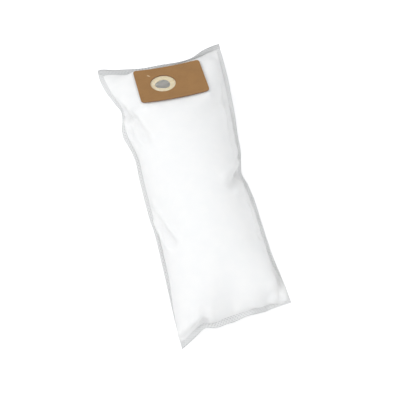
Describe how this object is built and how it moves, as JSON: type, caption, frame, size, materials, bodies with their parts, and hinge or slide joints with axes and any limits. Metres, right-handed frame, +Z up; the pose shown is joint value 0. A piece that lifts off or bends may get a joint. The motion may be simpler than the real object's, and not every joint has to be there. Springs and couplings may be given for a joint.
{
  "type": "vacuum cleaner dust bag",
  "caption": "White fleece pillow bag with welded edges and a brown hardboard collar plate, whose inlet hole holds a soft sealing diaphragm.",
  "frame": {"origin": "on the surface the bag lies on, under the middle of its bounding box", "axes": "+X across the bag towards the side that the inlet is set away from, +Y towards the collar end, +Z up out of the collar side"},
  "size_m": [0.2458, 0.579, 0.1227],
  "materials": {
    "fleece": "soft white layered nonwoven fleece, welded with small dots along the edges",
    "hardboard": "matt brown pressed fibre board with rubbed edges",
    "seal_rubber": "matt cream rubber sheet",
    "backing_card": "plain grey paperboard"
  },
  "bodies": {
    "root": {"fleece_bag": "fleece", "collar_plate": "hardboard", "seal_diaphragm": "seal_rubber", "collar_backing": "backing_card"}
  },
  "joints": []
}
